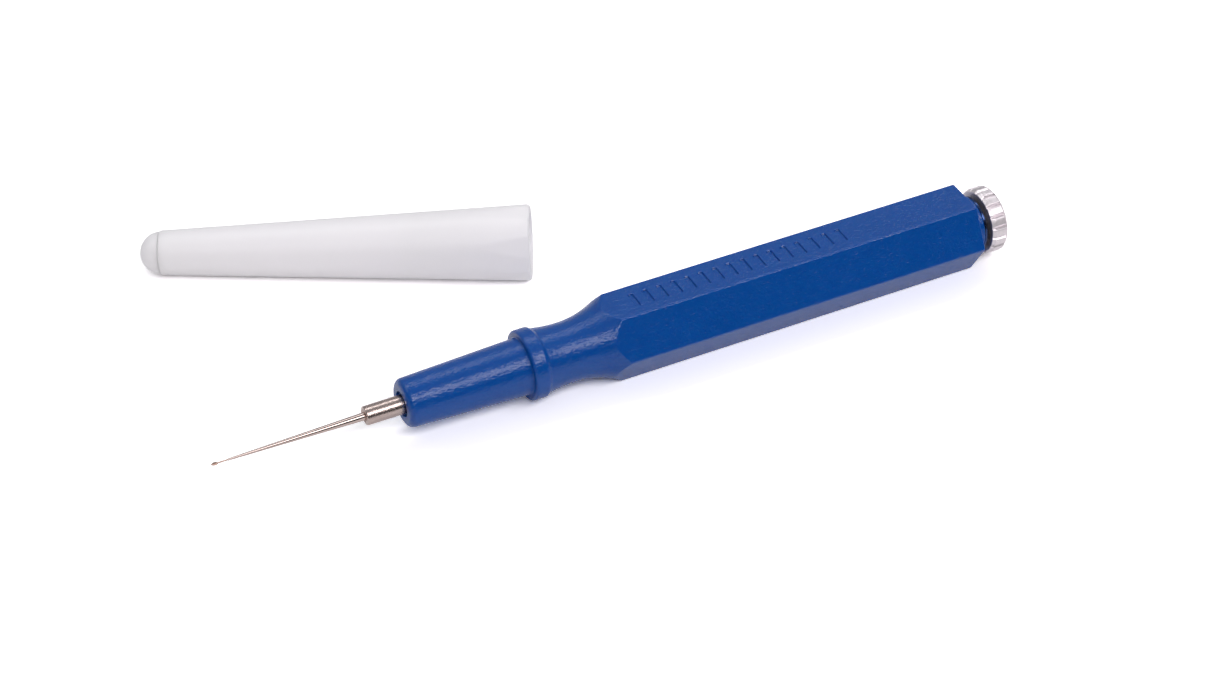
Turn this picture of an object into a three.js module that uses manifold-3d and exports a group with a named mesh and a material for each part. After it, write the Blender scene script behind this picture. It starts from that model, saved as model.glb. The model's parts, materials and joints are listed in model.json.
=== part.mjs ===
// Automatic oiler for watchmakers, lying on one flat of its hexagonal grip, with its cap beside it.
// Millimetres, +Z up. The tool's axis runs along X: needle tip at -X, press button at +X.
// The origin is the middle of the grip's bottom flat.
import * as THREE from "three";
import { mergeVertices } from "three/addons/utils/BufferGeometryUtils.js";
import Module from "manifold-3d";

const wasm = await Module();
wasm.setup();

// ---- Driving dimensions ----

// Grip: a moulded hexagon with a round boss behind it.
const GRIP_ACROSS_FLATS = 9;
const GRIP_FRONT_X = -23.3; // where the round waist has grown to the corners of the hexagon
const GRIP_REAR_X = 23.5;
const GRIP_EDGE_ROUND = 0.3;
const BOSS_RADIUS = 3.45;
const BOSS_LENGTH = 1.1;
const BOSS_EDGE = 0.2;

// Debossed row of plain bars on the top flat.
const MARK_COUNT = 16;
const MARK_SETBACK = 2.8; // from the front of the grip to the first bar
const MARK_PITCH = 1.8;
const MARK_WIDTH = 0.6;
const MARK_HEIGHT = 2.3;
const MARK_DEPTH = 0.2;

// Waist, collar and nose, all turned shapes of the same moulding.
const WAIST_RADIUS = 3.53;
const WAIST_COVE = 11.3; // radius of the hollow curve that flares into the hexagon
const COLLAR_RADIUS = 4.15;
const COLLAR_WIDTH = 2;
const COLLAR_ROUND = 0.35;
const COLLAR_BACK_RADIUS = 3.87;
const COLLAR_TO_WAIST = 3.5; // from the back of the collar to the narrowest place
const NOSE_ROOT_RADIUS = 3.34;
const NOSE_TIP_RADIUS = 2.85;
const NOSE_LENGTH = 14.75;
const NOSE_ROUND = 0.8;
const NOSE_SINK_RADIUS = 1.5; // shallow sink round the ferrule
const NOSE_SINK_DEPTH = 0.45;

// Needle: a plated ferrule with a tapered capillary tube.
const FERRULE_RADIUS = 1.117;
const FERRULE_PROUD = 4.47; // how far the ferrule stands out of the nose
const FERRULE_CHAMFER = 0.15;
const FERRULE_SEAT = 8.45; // from the nose's front face to the shoulder that stops the ferrule's seal
const FERRULE_FLANGE = 0.8;
const SEAL_THICKNESS = 0.5;
const TUBE_ROOT_RADIUS = 0.475;
const TUBE_TIP_RADIUS = 0.13;
const TUBE_PROUD = 16.1;
const TUBE_ROOT_LENGTH = 8.7; // length of the tube held inside the ferrule
const TUBE_ROOT_BORE = 0.25;
const TUBE_BORE = 0.1;
const TUBE_BORE_LENGTH = 3.8; // fine stretch of the bore at the tip

// Dosing wire, its holder and the spring that sends both back.
const WIRE_RADIUS = 0.08;
const WIRE_PROUD = 1.07; // bare wire between the tube and the spade
const SPADE_LENGTH = 0.9;
const SPADE_HALF_WIDTH = 0.22;
const SPADE_SHOULDER = 0.3; // share of the spade's length before it reaches its full width
const SPADE_POINT = 0.6; // share of its length where it starts to narrow to its tip
const SPADE_THICKNESS = 0.08;
const HOLDER_FLANGE = 0.7;
const HOLDER_SHANK_RADIUS = 0.6;
const HOLDER_SHANK = 3.65;
const HOLDER_STUB_RADIUS = 0.7;
const HOLDER_STUB = 1.15;
const SLEEVE_WALL = 0.35;
const SLEEVE_LIP = 0.6;
const SPRING_ROOM = 6.85; // between the ferrule's flange and the holder's flange
const SPRING_RADIUS = 1.1;
const SPRING_WIRE_RADIUS = 0.12;
const SPRING_TURNS = 7;

// Oil reservoir and the rear plug that closes it.
const MAIN_BORE_RADIUS = 1.95;
const RESERVOIR_WALL = 0.3;
const GASKET_BORE_ROOM = 0.7; // between the rod and the gasket in front of the reservoir
const BUSH_RADIUS = 2.7;
const BUSH_LENGTH = 6.9;
const THREAD_RADIUS = 2.1;
const PLUG_FLANGE_RADIUS = 3.35;
const PLUG_FLANGE = 0.3;
const PLUG_THREAD_LENGTH = 6.3;
const SPIGOT_LENGTH = 3.8;
const SPIGOT_IN_TUBE = 1.92; // how far the spigot goes into the reservoir tube
const SPIGOT_ROOM = 0.17; // between the spigot and the reservoir tube
const ORING_GROOVE_DEPTH = 0.35;
const ORING_GROOVE_WIDTH = 0.6;
const ORING_SETBACK = 0.7; // from the spigot's front face to the groove

// Press button on its rod.
const BUTTON_TRAVEL = 0.4;
const BUTTON_RADIUS = 4;
const BUTTON_THICKNESS = 2.1;
const BUTTON_CHAMFER = 0.3;
const BUTTON_STEM_RADIUS = 1.25;
const BUTTON_STEM = 3.45;
const FLUTES = 18;
const FLUTE_DEPTH = 0.3;
const FLUTE_HALF_ANGLE = THREE.MathUtils.degToRad(3.6);
const ROD_RADIUS = 0.5;
const ROD_IN_BUTTON = 0.85; // depth that the rod goes into the knob itself
const CLIP_RADIUS = 0.95;
const CLIP_THICKNESS = 0.3;
const CLIP_GROOVE_RADIUS = 0.38;
const GLAND_LENGTH = 1;
const GLAND_NUT_LENGTH = 0.8;

// Cap: a slightly tapered shell with a domed plug at its closed end.
const CAP_LENGTH = 44.05;
const CAP_MOUTH_RADIUS = 4.535;
const CAP_TIP_RADIUS = 2.66;
const CAP_FLAT_DEPTH = 0.205; // of the six short flats at the mouth
const CAP_MOUTH_ROUND = 0.35;
const CAP_LEAD = 0.23; // how much the bore widens at the mouth
const CAP_LEAD_LENGTH = 0.5;
const CAP_NOSE_ROOM = 0.45; // between the nose's front face and the end of its stretch of bore
const CAP_STEP_CONE = 1; // length over which the bore narrows behind the nose
const CAP_NEEDLE_BORE = 1.6; // radius of the bore round the needle
const CAP_PLUG_SEAT_RADIUS = 1.7;
const CAP_PLUG_SEAT = 4;
const DOME_STEP = 0.16; // between the shell's end and the dome
const DOME_LENGTH = 2.42;
const CAP_MOUTH_PLACE = new THREE.Vector2(-23.85, 20.2);
const CAP_TURN = THREE.MathUtils.degToRad(27.17); // between the cap's axis and the tool's

// Clearances: fitted between fixed pieces, and running between moving ones.
const FIT = 0.03;
const RUN = 0.05;
const FLANGE_ROOM = 0.07; // round the ferrule's flange
const HOLDER_ROOM = 0.12; // round the wire holder's flange

// How far a cut or a blank runs past the faces that it makes.
const OVERRUN = 1;

// ---- Stations along the tool's axis, worked out from the dimensions ----

const AXIS_HEIGHT = GRIP_ACROSS_FLATS / 2;
const CORNER_RADIUS = GRIP_ACROSS_FLATS / Math.sqrt(3);
const BOSS_X = GRIP_REAR_X + BOSS_LENGTH;
const COVE_LENGTH = coveLength(CORNER_RADIUS - WAIST_RADIUS);
const WAIST_X = GRIP_FRONT_X - COVE_LENGTH;
const COLLAR_BACK_X = WAIST_X - COLLAR_TO_WAIST;
const COLLAR_X = COLLAR_BACK_X - COLLAR_WIDTH;
const NOSE_X = COLLAR_X - NOSE_LENGTH;
const FERRULE_X = NOSE_X - FERRULE_PROUD;
const SHOULDER_X = NOSE_X + FERRULE_SEAT;
const FLANGE_FRONT_X = SHOULDER_X + SEAL_THICKNESS;
const FLANGE_X = FLANGE_FRONT_X + FERRULE_FLANGE;
const TUBE_X = FERRULE_X - TUBE_PROUD;
const HOLDER_X = FLANGE_X + SPRING_ROOM;
const HOLDER_BACK_X = HOLDER_X + HOLDER_FLANGE;
const LIP_X = HOLDER_BACK_X + RUN;
const SLEEVE_X = LIP_X + SLEEVE_LIP;
const STUB_X = HOLDER_BACK_X + HOLDER_STUB;
const RESERVOIR_X = SLEEVE_X + FIT + SEAL_THICKNESS + FIT;
const BUSH_X = BOSS_X - BUSH_LENGTH;
const PLUG_X = BOSS_X + FIT; // front face of the plug's flange
const PLUG_BACK_X = PLUG_X + PLUG_FLANGE;
const THREAD_X = PLUG_X - PLUG_THREAD_LENGTH;
const SPIGOT_X = THREAD_X - SPIGOT_LENGTH;
const RESERVOIR_BACK_X = SPIGOT_X + SPIGOT_IN_TUBE;
const BUTTON_X = PLUG_BACK_X + BUTTON_TRAVEL + FIT;
const BUTTON_BACK_X = BUTTON_X + BUTTON_THICKNESS;
const STEM_X = BUTTON_X - BUTTON_STEM;
const GLAND_NUT_BACK_X = STEM_X - BUTTON_TRAVEL - RUN;
const GLAND_NUT_X = GLAND_NUT_BACK_X - GLAND_NUT_LENGTH;
const GLAND_X = GLAND_NUT_X - FIT - GLAND_LENGTH;
const ROD_X = STUB_X + FIT;
const CLIP_BACK_X = SPIGOT_X - FIT;
const CLIP_X = CLIP_BACK_X - CLIP_THICKNESS;

// ---- Radii of what fits inside the main bore, from the outside inwards ----

const LINER_RADIUS = MAIN_BORE_RADIUS - FIT; // sleeve, gaskets and reservoir tube
const SLEEVE_BORE = LINER_RADIUS - SLEEVE_WALL;
const FERRULE_FLANGE_RADIUS = MAIN_BORE_RADIUS - FLANGE_ROOM;
const HOLDER_FLANGE_RADIUS = SLEEVE_BORE - HOLDER_ROOM;
const RESERVOIR_BORE = LINER_RADIUS - RESERVOIR_WALL;
const SPIGOT_RADIUS = RESERVOIR_BORE - SPIGOT_ROOM;
const ORING_GROOVE_RADIUS = SPIGOT_RADIUS - ORING_GROOVE_DEPTH;

// ---- Geometry helpers ----

// Length over which the waist's hollow curve rises by the given height.
function coveLength(rise) {
  return Math.sqrt(WAIST_COVE ** 2 - (WAIST_COVE - rise) ** 2);
}

// Turned solid about the X axis from [x, radius] points, listed from -X to +X along the outside.
function turned(points, segments = 24) {
  const profile = points.map(([x, radius]) => new THREE.Vector2(radius, x));
  const axes = new THREE.Matrix4().makeBasis(
    new THREE.Vector3(0, 1, 0),
    new THREE.Vector3(1, 0, 0),
    new THREE.Vector3(0, 0, -1),
  );
  return new THREE.LatheGeometry(profile, segments).applyMatrix4(axes);
}

// Turned ring about the X axis between two stations and two radii.
function ring(fromX, toX, inner, outer, segments = 24) {
  return turned([[fromX, inner], [fromX, outer], [toX, outer], [toX, inner], [fromX, inner]], segments);
}

// Quarter round of a turned profile, swept between two angles (degrees from +X, towards outside).
function arcPoints(x, radius, size, fromDeg, toDeg, steps = 3) {
  return Array.from({ length: steps + 1 }, (_, i) => {
    const angle = THREE.MathUtils.degToRad(fromDeg + ((toDeg - fromDeg) * i) / steps);
    return [x + size * Math.cos(angle), radius + size * Math.sin(angle)];
  });
}

// Straight prism along X from an outline drawn in Y and Z.
function prism(outline, fromX, toX, curveSegments = 2) {
  const axes = new THREE.Matrix4().makeBasis(
    new THREE.Vector3(0, 1, 0),
    new THREE.Vector3(0, 0, 1),
    new THREE.Vector3(1, 0, 0),
  );
  const options = { depth: toX - fromX, bevelEnabled: false, curveSegments };
  return new THREE.ExtrudeGeometry(outline, options).applyMatrix4(axes).translate(fromX, 0, 0);
}

// Outline of a hexagon that stands on a flat, with its corners rounded.
function hexagon(acrossFlats, round) {
  const shape = new THREE.Shape();
  const centre = (acrossFlats / 2 - round) / Math.cos(Math.PI / 6);
  for (let i = 0; i < 6; i++) {
    const angle = (i * Math.PI) / 3;
    const y = centre * Math.cos(angle);
    const z = centre * Math.sin(angle);
    shape.absarc(y, z, round, angle - Math.PI / 6, angle + Math.PI / 6, false);
  }
  shape.closePath();
  return shape;
}

// Solid of manifold-3d from a closed three.js geometry.
function solid(geometry) {
  const bare = geometry.clone().deleteAttribute("normal").deleteAttribute("uv");
  const merged = mergeVertices(bare, 1e-4);
  const triVerts = new Uint32Array(merged.index.array);
  const vertProperties = new Float32Array(merged.attributes.position.array);
  return new wasm.Manifold(new wasm.Mesh({ numProp: 3, vertProperties, triVerts }));
}

function geometryOf(manifold) {
  const mesh = manifold.getMesh();
  const geometry = new THREE.BufferGeometry();
  geometry.setAttribute("position", new THREE.BufferAttribute(mesh.vertProperties, 3));
  geometry.setIndex(new THREE.BufferAttribute(mesh.triVerts, 1));
  geometry.computeVertexNormals();
  return geometry;
}

function piece(name, geometry, material) {
  const mesh = new THREE.Mesh(geometry, material.clone());
  mesh.name = name;
  return mesh;
}

// ---- Materials ----

const bluePlastic = new THREE.MeshStandardMaterial({ color: 0x1058a0, roughness: 0.3, metalness: 0 });
const whitePlastic = new THREE.MeshStandardMaterial({ color: 0xe4e2e6, roughness: 0.45, metalness: 0 });
const nickel = new THREE.MeshStandardMaterial({ color: 0xb8b0a8, roughness: 0.15, metalness: 1 });
const steel = new THREE.MeshStandardMaterial({ color: 0x9a9894, roughness: 0.3, metalness: 1 });
const brass = new THREE.MeshStandardMaterial({ color: 0xc2a25a, roughness: 0.3, metalness: 1 });
const aluminium = new THREE.MeshStandardMaterial({ color: 0xd0ccd0, roughness: 0.3, metalness: 1 });
const rubber = new THREE.MeshStandardMaterial({ color: 0x1c1c1e, roughness: 0.7, metalness: 0 });

// ---- Handle ----

// Radius of the waist at a distance from its narrowest place, rising along the hollow curve.
function waistRadius(distance) {
  return WAIST_RADIUS + WAIST_COVE - Math.sqrt(WAIST_COVE ** 2 - distance ** 2);
}

// Outside of the whole moulding as if turned: the grip's hexagon is cut into it afterwards.
function handleProfile() {
  const coveSteps = 7;
  const blankRadius = CORNER_RADIUS + 0.1;
  const coveEnd = coveLength(blankRadius - WAIST_RADIUS);
  const cove = Array.from({ length: coveSteps }, (_, i) => {
    const distance = (coveEnd * (i + 1)) / coveSteps;
    return [WAIST_X + distance, waistRadius(distance)];
  });
  const backRise = COLLAR_BACK_RADIUS - WAIST_RADIUS;
  const back = [1, 0.75, 0.5, 0.25, 0].map((t) =>
    [WAIST_X - COLLAR_TO_WAIST * t, WAIST_RADIUS + backRise * t * t]);
  return [
    [NOSE_X, 0],
    ...arcPoints(NOSE_X + NOSE_ROUND, NOSE_TIP_RADIUS - NOSE_ROUND, NOSE_ROUND, 180, 92, 4),
    [COLLAR_X, NOSE_ROOT_RADIUS],
    ...arcPoints(COLLAR_X + COLLAR_ROUND, COLLAR_RADIUS - COLLAR_ROUND, COLLAR_ROUND, 180, 90),
    [COLLAR_BACK_X - COLLAR_ROUND, COLLAR_RADIUS],
    ...back,
    ...cove,
    [GRIP_REAR_X, blankRadius],
    [GRIP_REAR_X, BOSS_RADIUS],
    [BOSS_X - BOSS_EDGE, BOSS_RADIUS],
    [BOSS_X, BOSS_RADIUS - BOSS_EDGE],
    [BOSS_X, 0],
  ];
}

// Everything bored out of the moulding: ferrule hole, main bore and the bush's seat.
function handleBore() {
  const ferruleHole = FERRULE_RADIUS + FIT;
  return [
    [NOSE_X - OVERRUN, 0],
    [NOSE_X - OVERRUN, NOSE_SINK_RADIUS],
    [NOSE_X + NOSE_SINK_DEPTH, NOSE_SINK_RADIUS],
    [NOSE_X + NOSE_SINK_DEPTH, ferruleHole],
    [SHOULDER_X, ferruleHole],
    [SHOULDER_X, MAIN_BORE_RADIUS],
    [BUSH_X - FIT, MAIN_BORE_RADIUS],
    [BUSH_X - FIT, BUSH_RADIUS + FIT],
    [BOSS_X + OVERRUN, BUSH_RADIUS + FIT],
    [BOSS_X + OVERRUN, 0],
  ];
}

function gripMarks() {
  const top = GRIP_ACROSS_FLATS / 2;
  return Array.from({ length: MARK_COUNT }, (_, i) => {
    const x = GRIP_FRONT_X + MARK_SETBACK + i * MARK_PITCH;
    return new THREE.BoxGeometry(MARK_WIDTH, MARK_HEIGHT, 2 * MARK_DEPTH).translate(x, 0, top);
  });
}

function makeHandle() {
  const hexPrism = prism(hexagon(GRIP_ACROSS_FLATS, GRIP_EDGE_ROUND), NOSE_X - OVERRUN, BOSS_X + OVERRUN);
  let body = solid(turned(handleProfile(), 48)).intersect(solid(hexPrism));
  body = body.subtract(solid(turned(handleBore(), 32)));
  for (const mark of gripMarks()) body = body.subtract(solid(mark));
  return piece("handle_shell", geometryOf(body), bluePlastic);
}

// ---- Needle ----

function makeFerrule() {
  const tubeHole = TUBE_ROOT_RADIUS + FIT;
  const oilHole = HOLDER_SHANK_RADIUS + 2 * RUN;
  const tubeStop = FERRULE_X + TUBE_ROOT_LENGTH + FIT;
  const stopCone = 1;
  const outline = [
    [FERRULE_X, tubeHole],
    [FERRULE_X, FERRULE_RADIUS - FERRULE_CHAMFER],
    [FERRULE_X + FERRULE_CHAMFER, FERRULE_RADIUS],
    [FLANGE_FRONT_X, FERRULE_RADIUS],
    [FLANGE_FRONT_X, FERRULE_FLANGE_RADIUS],
    [FLANGE_X, FERRULE_FLANGE_RADIUS],
    [FLANGE_X, oilHole],
    [tubeStop + stopCone, oilHole],
    [tubeStop, tubeHole],
    [FERRULE_X, tubeHole],
  ];
  return piece("needle_ferrule", turned(outline, 32), nickel);
}

function makeTube() {
  const back = FERRULE_X + TUBE_ROOT_LENGTH;
  const outline = [
    [TUBE_X, TUBE_BORE],
    [TUBE_X, TUBE_TIP_RADIUS],
    [FERRULE_X, TUBE_ROOT_RADIUS],
    [back, TUBE_ROOT_RADIUS],
    [back, TUBE_ROOT_BORE],
    [FERRULE_X, TUBE_ROOT_BORE],
    [TUBE_X + TUBE_BORE_LENGTH, TUBE_BORE],
    [TUBE_X, TUBE_BORE],
  ];
  return piece("needle_tube", turned(outline, 16), nickel);
}

function makeFerruleSeal() {
  const shape = ring(
    SHOULDER_X + FIT, FLANGE_FRONT_X - FIT, FERRULE_RADIUS + FIT, LINER_RADIUS, 32);
  return piece("ferrule_seal", shape, rubber);
}

// ---- Dosing wire and its return ----

function makeSleeve() {
  const lip = HOLDER_STUB_RADIUS + 2 * RUN;
  const outline = [
    [FLANGE_X + FIT, SLEEVE_BORE],
    [FLANGE_X + FIT, LINER_RADIUS],
    [SLEEVE_X, LINER_RADIUS],
    [SLEEVE_X, lip],
    [LIP_X, lip],
    [LIP_X, SLEEVE_BORE],
    [FLANGE_X + FIT, SLEEVE_BORE],
  ];
  return piece("holder_sleeve", turned(outline), brass);
}

function makeHolder() {
  const wireHole = WIRE_RADIUS + FIT / 2;
  const front = HOLDER_X - HOLDER_SHANK;
  const outline = [
    [HOLDER_X, 0],
    [HOLDER_X, wireHole],
    [front, wireHole],
    [front, HOLDER_SHANK_RADIUS],
    [HOLDER_X, HOLDER_SHANK_RADIUS],
    [HOLDER_X, HOLDER_FLANGE_RADIUS],
    [HOLDER_BACK_X, HOLDER_FLANGE_RADIUS],
    [HOLDER_BACK_X, HOLDER_STUB_RADIUS],
    [STUB_X, HOLDER_STUB_RADIUS],
    [STUB_X, 0],
  ];
  return piece("wire_holder", turned(outline, 20), brass);
}

// Round wire with its end hammered into a small spade that carries the drop.
function makeWire() {
  const spadeBack = TUBE_X - WIRE_PROUD;
  const shoulder = spadeBack - SPADE_LENGTH * SPADE_SHOULDER;
  const point = spadeBack - SPADE_LENGTH * SPADE_POINT;
  const root = spadeBack + WIRE_RADIUS;
  const outline = new THREE.Shape();
  outline.moveTo(root, -WIRE_RADIUS);
  outline.lineTo(root, WIRE_RADIUS);
  outline.lineTo(shoulder, SPADE_HALF_WIDTH);
  outline.lineTo(point, SPADE_HALF_WIDTH);
  outline.lineTo(spadeBack - SPADE_LENGTH, 0);
  outline.lineTo(point, -SPADE_HALF_WIDTH);
  outline.lineTo(shoulder, -SPADE_HALF_WIDTH);
  outline.closePath();
  const plate = new THREE.ExtrudeGeometry(outline, { depth: SPADE_THICKNESS, bevelEnabled: false });
  plate.translate(0, 0, -SPADE_THICKNESS / 2);
  const back = HOLDER_X - FIT;
  const shank = turned([[spadeBack, 0], [spadeBack, WIRE_RADIUS], [back, WIRE_RADIUS], [back, 0]], 12);
  return piece("dosing_wire", geometryOf(solid(shank).add(solid(plate))), steel);
}

class Helix extends THREE.Curve {
  constructor(fromX, toX, radius, turns) {
    super();
    Object.assign(this, { fromX, toX, radius, turns });
  }

  getPoint(t, target = new THREE.Vector3()) {
    const angle = 2 * Math.PI * this.turns * t;
    const x = this.fromX + (this.toX - this.fromX) * t;
    return target.set(x, this.radius * Math.cos(angle), this.radius * Math.sin(angle));
  }
}

function makeSpring() {
  const inset = SPRING_WIRE_RADIUS + RUN;
  const path = new Helix(FLANGE_X + inset, HOLDER_X - inset, SPRING_RADIUS, SPRING_TURNS);
  const section = new THREE.Shape().absarc(0, 0, SPRING_WIRE_RADIUS, 0, 2 * Math.PI, false);
  const options = { steps: SPRING_TURNS * 12, extrudePath: path, curveSegments: 3 };
  return piece("return_spring", new THREE.ExtrudeGeometry(section, options), steel);
}

// ---- Oil reservoir and rear plug ----

function makeReservoirGasket() {
  const shape = ring(SLEEVE_X + FIT, RESERVOIR_X - FIT, ROD_RADIUS + GASKET_BORE_ROOM, LINER_RADIUS);
  return piece("reservoir_gasket", shape, rubber);
}

function makeReservoir() {
  return piece("reservoir_tube", ring(RESERVOIR_X, RESERVOIR_BACK_X, RESERVOIR_BORE, LINER_RADIUS), nickel);
}

function makeBush() {
  return piece("rear_bush", ring(BUSH_X, BOSS_X, THREAD_RADIUS + RUN, BUSH_RADIUS, 32), brass);
}

function makePlug() {
  const rodHole = ROD_RADIUS + RUN;
  const stemHole = BUTTON_STEM_RADIUS + RUN;
  const groove = SPIGOT_X + ORING_SETBACK;
  const outline = [
    [SPIGOT_X, rodHole],
    [SPIGOT_X, SPIGOT_RADIUS],
    [groove, SPIGOT_RADIUS],
    [groove, ORING_GROOVE_RADIUS],
    [groove + ORING_GROOVE_WIDTH, ORING_GROOVE_RADIUS],
    [groove + ORING_GROOVE_WIDTH, SPIGOT_RADIUS],
    [THREAD_X, SPIGOT_RADIUS],
    [THREAD_X, THREAD_RADIUS],
    [PLUG_X, THREAD_RADIUS],
    [PLUG_X, PLUG_FLANGE_RADIUS],
    [PLUG_BACK_X, PLUG_FLANGE_RADIUS],
    [PLUG_BACK_X, stemHole],
    [GLAND_X - FIT, stemHole],
    [GLAND_X - FIT, rodHole],
    [SPIGOT_X, rodHole],
  ];
  return piece("rear_plug", turned(outline, 32), nickel);
}

function makePlugSeal() {
  const inner = ORING_GROOVE_RADIUS + FIT;
  const outer = RESERVOIR_BORE - RUN;
  const x = SPIGOT_X + ORING_SETBACK + ORING_GROOVE_WIDTH / 2;
  const shape = new THREE.TorusGeometry((inner + outer) / 2, (outer - inner) / 2, 8, 24).rotateY(Math.PI / 2);
  return piece("plug_seal", shape.translate(x, 0, 0), rubber);
}

function makeGland() {
  const shape = ring(GLAND_X, GLAND_X + GLAND_LENGTH, ROD_RADIUS + RUN / 2, BUTTON_STEM_RADIUS);
  return piece("rod_gland", shape, rubber);
}

function makeGlandNut() {
  const shape = ring(GLAND_NUT_X, GLAND_NUT_BACK_X, ROD_RADIUS + RUN, BUTTON_STEM_RADIUS);
  return piece("gland_nut", shape, brass);
}

// ---- Press button ----

function makeRod() {
  const back = BUTTON_X + ROD_IN_BUTTON;
  const outline = [
    [ROD_X, 0],
    [ROD_X, ROD_RADIUS],
    [CLIP_X - FIT, ROD_RADIUS],
    [CLIP_X - FIT, CLIP_GROOVE_RADIUS],
    [CLIP_BACK_X + FIT, CLIP_GROOVE_RADIUS],
    [CLIP_BACK_X + FIT, ROD_RADIUS],
    [back, ROD_RADIUS],
    [back, 0],
  ];
  return piece("plunger_rod", turned(outline, 16), steel);
}

function makeRodClip() {
  return piece("rod_clip", ring(CLIP_X, CLIP_BACK_X, CLIP_GROOVE_RADIUS + FIT, CLIP_RADIUS, 16), steel);
}

// Outline of the button seen end on: wide flat ridges with V grooves between them.
function flutedOutline(radius) {
  const shape = new THREE.Shape();
  for (let i = 0; i < FLUTES; i++) {
    const groove = (2 * Math.PI * i) / FLUTES;
    const stations = [
      [groove - FLUTE_HALF_ANGLE, radius],
      [groove, radius - FLUTE_DEPTH],
      [groove + FLUTE_HALF_ANGLE, radius],
      [groove + Math.PI / FLUTES, radius],
    ];
    stations.forEach(([angle, r], j) => {
      const y = r * Math.cos(angle);
      const z = r * Math.sin(angle);
      if (i === 0 && j === 0) shape.moveTo(y, z);
      else shape.lineTo(y, z);
    });
  }
  shape.closePath();
  return shape;
}

function makeButton() {
  const hole = ROD_RADIUS + FIT;
  const holeBottom = BUTTON_X + ROD_IN_BUTTON + FIT;
  const blankRadius = BUTTON_RADIUS + 0.1;
  const outline = [
    [holeBottom, 0],
    [holeBottom, hole],
    [STEM_X, hole],
    [STEM_X, BUTTON_STEM_RADIUS],
    [BUTTON_X, BUTTON_STEM_RADIUS],
    [BUTTON_X, BUTTON_RADIUS - BUTTON_CHAMFER],
    [BUTTON_X + BUTTON_CHAMFER, blankRadius],
    [BUTTON_BACK_X - BUTTON_CHAMFER, blankRadius],
    [BUTTON_BACK_X, BUTTON_RADIUS - BUTTON_CHAMFER],
    [BUTTON_BACK_X, 0],
  ];
  const fluted = prism(flutedOutline(BUTTON_RADIUS), STEM_X - OVERRUN, BUTTON_BACK_X + OVERRUN);
  const body = solid(turned(outline, 36)).intersect(solid(fluted));
  return piece("push_button", geometryOf(body), aluminium);
}

// ---- Cap, drawn with its mouth at x = 0 and its tip towards +X ----

function makeCapShell() {
  const taper = (CAP_MOUTH_RADIUS - CAP_TIP_RADIUS) / CAP_LENGTH;
  const lip = CAP_MOUTH_RADIUS - (1 + taper) * CAP_MOUTH_ROUND;
  const rootBore = NOSE_ROOT_RADIUS + FIT;
  const gripLength = NOSE_LENGTH + CAP_NOSE_ROOM;
  const outside = [
    [0, 0],
    ...arcPoints(CAP_MOUTH_ROUND, lip, CAP_MOUTH_ROUND, 180, 90),
    [CAP_LENGTH, CAP_TIP_RADIUS],
    [CAP_LENGTH, 0],
  ];
  const bore = [
    [-OVERRUN, 0],
    [-OVERRUN, rootBore + CAP_LEAD],
    [0, rootBore + CAP_LEAD],
    [CAP_LEAD_LENGTH, rootBore],
    [gripLength, NOSE_TIP_RADIUS + FIT],
    [gripLength + CAP_STEP_CONE, CAP_NEEDLE_BORE],
    [CAP_LENGTH - CAP_PLUG_SEAT, CAP_NEEDLE_BORE],
    [CAP_LENGTH - CAP_PLUG_SEAT, CAP_PLUG_SEAT_RADIUS],
    [CAP_LENGTH + OVERRUN, CAP_PLUG_SEAT_RADIUS],
    [CAP_LENGTH + OVERRUN, 0],
  ];
  const acrossFlats = 2 * (CAP_MOUTH_RADIUS - CAP_FLAT_DEPTH);
  const flats = prism(hexagon(acrossFlats, GRIP_EDGE_ROUND), -OVERRUN, CAP_LENGTH + OVERRUN);
  const body = solid(turned(outside, 48)).intersect(solid(flats)).subtract(solid(turned(bore, 32)));
  return piece("cap_shell", geometryOf(body), whitePlastic);
}

// Domed plug: a half ellipse outside and a round peg inside the shell.
function makeCapPlug() {
  const face = CAP_LENGTH + FIT;
  const domeRadius = CAP_TIP_RADIUS - DOME_STEP;
  const steps = 6;
  const dome = Array.from({ length: steps + 1 }, (_, i) => {
    const angle = (Math.PI / 2) * (i / steps);
    return [face + DOME_LENGTH * Math.sin(angle), domeRadius * Math.cos(angle)];
  });
  dome[steps][1] = 0;
  const peg = CAP_PLUG_SEAT_RADIUS - FIT;
  const front = CAP_LENGTH - CAP_PLUG_SEAT + FIT;
  return piece("cap_end_plug", turned([[front, 0], [front, peg], [face, peg], ...dome], 32), whitePlastic);
}

// The cap lies on its side, so its axis dips towards the narrow end by the shell's own taper.
function makeCap() {
  const dip = Math.atan2(CAP_MOUTH_RADIUS - CAP_TIP_RADIUS, CAP_LENGTH);
  const group = new THREE.Group();
  group.position.set(CAP_MOUTH_PLACE.x, CAP_MOUTH_PLACE.y, CAP_MOUTH_RADIUS * Math.cos(dip));
  group.rotation.set(0, dip, Math.PI - CAP_TURN, "ZYX");
  group.add(makeCapShell(), makeCapPlug());
  return group;
}

// ---- Assembly ----

function makeTool() {
  const group = new THREE.Group();
  group.position.z = AXIS_HEIGHT;
  group.add(makeHandle(), makeFerrule(), makeTube(), makeFerruleSeal());
  group.add(makeSleeve(), makeHolder(), makeWire(), makeSpring());
  group.add(makeReservoirGasket(), makeReservoir(), makeBush());
  group.add(makePlug(), makePlugSeal(), makeGland(), makeGlandNut());
  group.add(makeRod(), makeRodClip(), makeButton());
  return group;
}

const oiler = new THREE.Group();
oiler.add(makeTool(), makeCap());
export default oiler;
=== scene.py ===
"""Automatic oiler for watchmakers, with its loose cap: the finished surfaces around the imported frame.

Every visible piece is made again with fine edges and its own finish. The tool's axis runs along X at half the
grip's height, the needle points to -X, and the floor is at z = 0.
"""

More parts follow.
